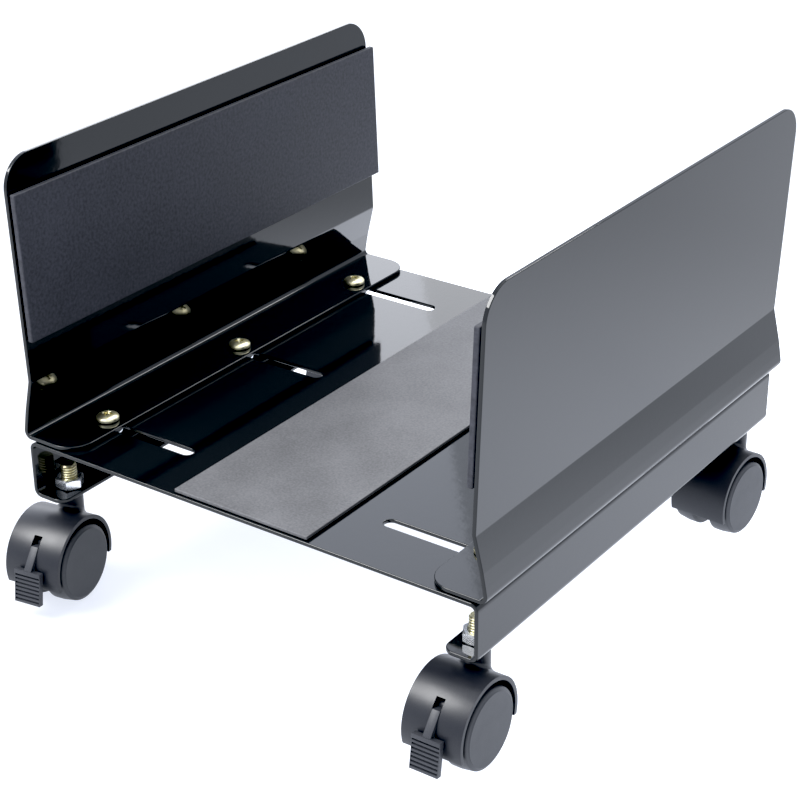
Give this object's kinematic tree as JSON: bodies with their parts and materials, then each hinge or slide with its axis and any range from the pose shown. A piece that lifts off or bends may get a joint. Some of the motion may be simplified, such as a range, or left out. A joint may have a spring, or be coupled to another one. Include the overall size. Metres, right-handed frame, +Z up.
{
  "type": "computer tower stand",
  "caption": "Rolling floor stand for a desktop computer: folded steel tray on four twin-wheel casters, with two padded side brackets that slide on slots to fit the case width.",
  "frame": {"origin": "on the floor, under the middle of the stand's outline", "axes": "+Z up, +X to the right seen from the front, +Y to the rear; the braked casters are at the front"},
  "size_m": [0.2743, 0.3094, 0.2243],
  "materials": {
    "painted_steel": "gloss black powder paint",
    "side_foam": "matte foam",
    "centre_foam": "matte foam",
    "pad_tape": "dull adhesive tape",
    "yellow_zinc": "yellow passivated zinc",
    "bright_zinc": "bright zinc",
    "black_nylon": "fine satin moulded nylon",
    "wheel_plastic": "fine satin moulded plastic",
    "lever_plastic": "satin moulded plastic",
    "plain_steel": "drawn steel"
  },
  "bodies": {
    "base": {"base_tray": "painted_steel", "centre_pad": "centre_foam", "front_left_stem": "yellow_zinc", "front_left_stem_nut": "bright_zinc", "front_left_swivel_washer": "black_nylon", "front_right_stem": "yellow_zinc", "front_right_stem_nut": "bright_zinc", "front_right_swivel_washer": "black_nylon", "rear_left_stem": "yellow_zinc", "rear_left_stem_nut": "bright_zinc", "rear_left_swivel_washer": "black_nylon", "rear_right_stem": "yellow_zinc", "rear_right_stem_nut": "bright_zinc", "rear_right_swivel_washer": "black_nylon"},
    "left_bracket": {"left_side_bracket": "painted_steel", "left_side_pad": "side_foam", "left_side_tape": "pad_tape", "left_front_clamp_screw": "yellow_zinc", "left_front_clamp_nut": "bright_zinc", "left_middle_clamp_screw": "yellow_zinc", "left_middle_clamp_nut": "bright_zinc", "left_rear_clamp_screw": "yellow_zinc", "left_rear_clamp_nut": "bright_zinc"},
    "right_bracket": {"right_side_bracket": "painted_steel", "right_side_pad": "side_foam", "right_side_tape": "pad_tape", "right_front_clamp_screw": "yellow_zinc", "right_front_clamp_nut": "bright_zinc", "right_middle_clamp_screw": "yellow_zinc", "right_middle_clamp_nut": "bright_zinc", "right_rear_clamp_screw": "yellow_zinc", "right_rear_clamp_nut": "bright_zinc"},
    "front_left_caster": {"front_left_hood": "black_nylon", "front_left_axle": "plain_steel", "front_left_lever_pin": "plain_steel"},
    "front_left_left_wheel": {"front_left_wheel_left": "wheel_plastic"},
    "front_left_right_wheel": {"front_left_wheel_right": "wheel_plastic"},
    "front_left_brake": {"front_left_brake_lever": "lever_plastic"},
    "front_right_caster": {"front_right_hood": "black_nylon", "front_right_axle": "plain_steel", "front_right_lever_pin": "plain_steel"},
    "front_right_left_wheel": {"front_right_wheel_left": "wheel_plastic"},
    "front_right_right_wheel": {"front_right_wheel_right": "wheel_plastic"},
    "front_right_brake": {"front_right_brake_lever": "lever_plastic"},
    "rear_left_caster": {"rear_left_hood": "black_nylon", "rear_left_axle": "plain_steel"},
    "rear_left_left_wheel": {"rear_left_wheel_left": "wheel_plastic"},
    "rear_left_right_wheel": {"rear_left_wheel_right": "wheel_plastic"},
    "rear_right_caster": {"rear_right_hood": "black_nylon", "rear_right_axle": "plain_steel"},
    "rear_right_left_wheel": {"rear_right_wheel_left": "wheel_plastic"},
    "rear_right_right_wheel": {"rear_right_wheel_right": "wheel_plastic"}
  },
  "joints": [
    {"name": "left_bracket_slide", "type": "slide", "parent": "base", "child": "left_bracket", "axis": [1, 0, 0], "range_m": [0, 0.046]},
    {"name": "right_bracket_slide", "type": "slide", "parent": "base", "child": "right_bracket", "axis": [-1, 0, 0], "range_m": [0, 0.046]},
    {"name": "front_left_swivel", "type": "hinge", "parent": "base", "child": "front_left_caster", "pos_m": [-0.1203, -0.1108, 0.04], "axis": [0, 0, 1], "continuous": true},
    {"name": "front_left_left_wheel_spin", "type": "hinge", "parent": "front_left_caster", "child": "front_left_left_wheel", "pos_m": [-0.11814, -0.12443, 0.02], "axis": [0.9877, 0.1564, 0], "continuous": true},
    {"name": "front_left_right_wheel_spin", "type": "hinge", "parent": "front_left_caster", "child": "front_left_right_wheel", "pos_m": [-0.11814, -0.12443, 0.02], "axis": [0.9877, 0.1564, 0], "continuous": true},
    {"name": "front_left_brake_release", "type": "hinge", "parent": "front_left_caster", "child": "front_left_brake", "pos_m": [-0.11626, -0.13628, 0.0335], "axis": [-0.9877, -0.1564, 0], "range_deg": [0, 25]},
    {"name": "front_right_swivel", "type": "hinge", "parent": "base", "child": "front_right_caster", "pos_m": [0.1203, -0.1108, 0.04], "axis": [0, 0, 1], "continuous": true},
    {"name": "front_right_left_wheel_spin", "type": "hinge", "parent": "front_right_caster", "child": "front_right_left_wheel", "pos_m": [0.12054, -0.1246, 0.02], "axis": [0.9998, 0.0175, 0], "continuous": true},
    {"name": "front_right_right_wheel_spin", "type": "hinge", "parent": "front_right_caster", "child": "front_right_right_wheel", "pos_m": [0.12054, -0.1246, 0.02], "axis": [0.9998, 0.0175, 0], "continuous": true},
    {"name": "front_right_brake_release", "type": "hinge", "parent": "front_right_caster", "child": "front_right_brake", "pos_m": [0.12075, -0.1366, 0.0335], "axis": [-0.9998, -0.0175, 0], "range_deg": [0, 25]},
    {"name": "rear_left_swivel", "type": "hinge", "parent": "base", "child": "rear_left_caster", "pos_m": [-0.1203, 0.1342, 0.04], "axis": [0, 0, 1], "continuous": true},
    {"name": "rear_left_left_wheel_spin", "type": "hinge", "parent": "rear_left_caster", "child": "rear_left_left_wheel", "pos_m": [-0.1203, 0.1204, 0.02], "axis": [1, 0, 0], "continuous": true},
    {"name": "rear_left_right_wheel_spin", "type": "hinge", "parent": "rear_left_caster", "child": "rear_left_right_wheel", "pos_m": [-0.1203, 0.1204, 0.02], "axis": [1, 0, 0], "continuous": true},
    {"name": "rear_right_swivel", "type": "hinge", "parent": "base", "child": "rear_right_caster", "pos_m": [0.1203, 0.1342, 0.04], "axis": [0, 0, 1], "continuous": true},
    {"name": "rear_right_left_wheel_spin", "type": "hinge", "parent": "rear_right_caster", "child": "rear_right_left_wheel", "pos_m": [0.11972, 0.12041, 0.02], "axis": [0.9991, -0.0419, 0], "continuous": true},
    {"name": "rear_right_right_wheel_spin", "type": "hinge", "parent": "rear_right_caster", "child": "rear_right_right_wheel", "pos_m": [0.11972, 0.12041, 0.02], "axis": [0.9991, -0.0419, 0], "continuous": true}
  ]
}
